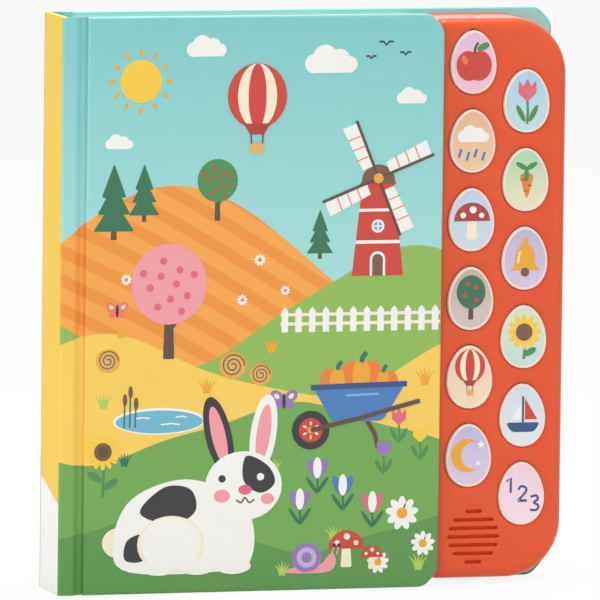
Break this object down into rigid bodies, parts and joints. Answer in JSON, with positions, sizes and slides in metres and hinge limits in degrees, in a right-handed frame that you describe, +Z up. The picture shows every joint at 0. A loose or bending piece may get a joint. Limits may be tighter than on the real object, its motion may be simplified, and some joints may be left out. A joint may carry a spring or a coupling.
{
  "type": "sound book",
  "caption": "Upright cased board book with hinged covers and a moulded sound panel of egg-shaped push buttons over a slotted round speaker grille along its fore-edge.",
  "frame": {"origin": "centre of the bounding box's bottom, on the surface that the book stands on", "axes": "+Z up along the spine, -Y out of the front cover, +X from the spine towards the sound panel"},
  "size_m": [0.2374, 0.035, 0.26],
  "materials": {
    "cover_paper": "gloss laminated",
    "spine_paper": "gloss laminated",
    "page_card": "matt cut edge",
    "panel_shell": "moulded satin gloss",
    "button_key": "moulded with a printed label",
    "keypad_rubber": "matt",
    "circuit": "solder resist",
    "resin": "gloss",
    "steel": "plated",
    "magnet": "plated",
    "cone": "matt",
    "wire_red": "satin",
    "wire_black": "satin"
  },
  "bodies": {
    "back": {"back_cover": "cover_paper", "module_front_shell": "panel_shell", "module_rear_plate": "panel_shell", "rubber_keypad": "keypad_rubber", "circuit_board": "circuit", "sound_chip": "resin", "speaker_frame": "steel", "speaker_cone": "cone", "speaker_magnet": "magnet", "button_cell_1": "steel", "button_cell_2": "steel", "button_cell_3": "steel", "battery_contact_end": "steel", "battery_contact_link": "steel", "door_contact_link": "steel", "battery_door": "panel_shell", "battery_door_screw": "steel", "case_screw_1": "steel", "case_screw_2": "steel", "case_screw_3": "steel", "case_screw_4": "steel", "speaker_wire_1": "wire_red", "speaker_wire_2": "wire_black", "battery_wire_1": "wire_red", "battery_wire_2": "wire_black"},
    "leaves": {"spine": "spine_paper", "page_block": "page_card"},
    "front": {"front_cover": "cover_paper"},
    "key_1": {"button_1": "button_key"},
    "key_2": {"button_2": "button_key"},
    "key_3": {"button_3": "button_key"},
    "key_4": {"button_4": "button_key"},
    "key_5": {"button_5": "button_key"},
    "key_6": {"button_6": "button_key"},
    "key_7": {"button_7": "button_key"},
    "key_8": {"button_8": "button_key"},
    "key_9": {"button_9": "button_key"},
    "key_10": {"button_10": "button_key"},
    "key_11": {"button_11": "button_key"},
    "key_12": {"button_12": "button_key"}
  },
  "joints": [
    {"name": "back_cover_hinge", "type": "hinge", "parent": "back", "child": "leaves", "pos_m": [-0.11225, 0.0177, 0.13], "axis": [0, 0, -1], "range_deg": [0, 90]},
    {"name": "front_cover_hinge", "type": "hinge", "parent": "leaves", "child": "front", "pos_m": [-0.11225, -0.0177, 0.13], "axis": [0, 0, -1], "range_deg": [0, 180]},
    {"name": "key_1_press", "type": "slide", "parent": "back", "child": "key_1", "axis": [0, 1, 0], "range_m": [0, 0.0012], "stiffness_N_per_m": 500},
    {"name": "key_2_press", "type": "slide", "parent": "back", "child": "key_2", "axis": [0, 1, 0], "range_m": [0, 0.0012], "stiffness_N_per_m": 500},
    {"name": "key_3_press", "type": "slide", "parent": "back", "child": "key_3", "axis": [0, 1, 0], "range_m": [0, 0.0012], "stiffness_N_per_m": 500},
    {"name": "key_4_press", "type": "slide", "parent": "back", "child": "key_4", "axis": [0, 1, 0], "range_m": [0, 0.0012], "stiffness_N_per_m": 500},
    {"name": "key_5_press", "type": "slide", "parent": "back", "child": "key_5", "axis": [0, 1, 0], "range_m": [0, 0.0012], "stiffness_N_per_m": 500},
    {"name": "key_6_press", "type": "slide", "parent": "back", "child": "key_6", "axis": [0, 1, 0], "range_m": [0, 0.0012], "stiffness_N_per_m": 500},
    {"name": "key_7_press", "type": "slide", "parent": "back", "child": "key_7", "axis": [0, 1, 0], "range_m": [0, 0.0012], "stiffness_N_per_m": 500},
    {"name": "key_8_press", "type": "slide", "parent": "back", "child": "key_8", "axis": [0, 1, 0], "range_m": [0, 0.0012], "stiffness_N_per_m": 500},
    {"name": "key_9_press", "type": "slide", "parent": "back", "child": "key_9", "axis": [0, 1, 0], "range_m": [0, 0.0012], "stiffness_N_per_m": 500},
    {"name": "key_10_press", "type": "slide", "parent": "back", "child": "key_10", "axis": [0, 1, 0], "range_m": [0, 0.0012], "stiffness_N_per_m": 500},
    {"name": "key_11_press", "type": "slide", "parent": "back", "child": "key_11", "axis": [0, 1, 0], "range_m": [0, 0.0012], "stiffness_N_per_m": 500},
    {"name": "key_12_press", "type": "slide", "parent": "back", "child": "key_12", "axis": [0, 1, 0], "range_m": [0, 0.0012], "stiffness_N_per_m": 500}
  ]
}
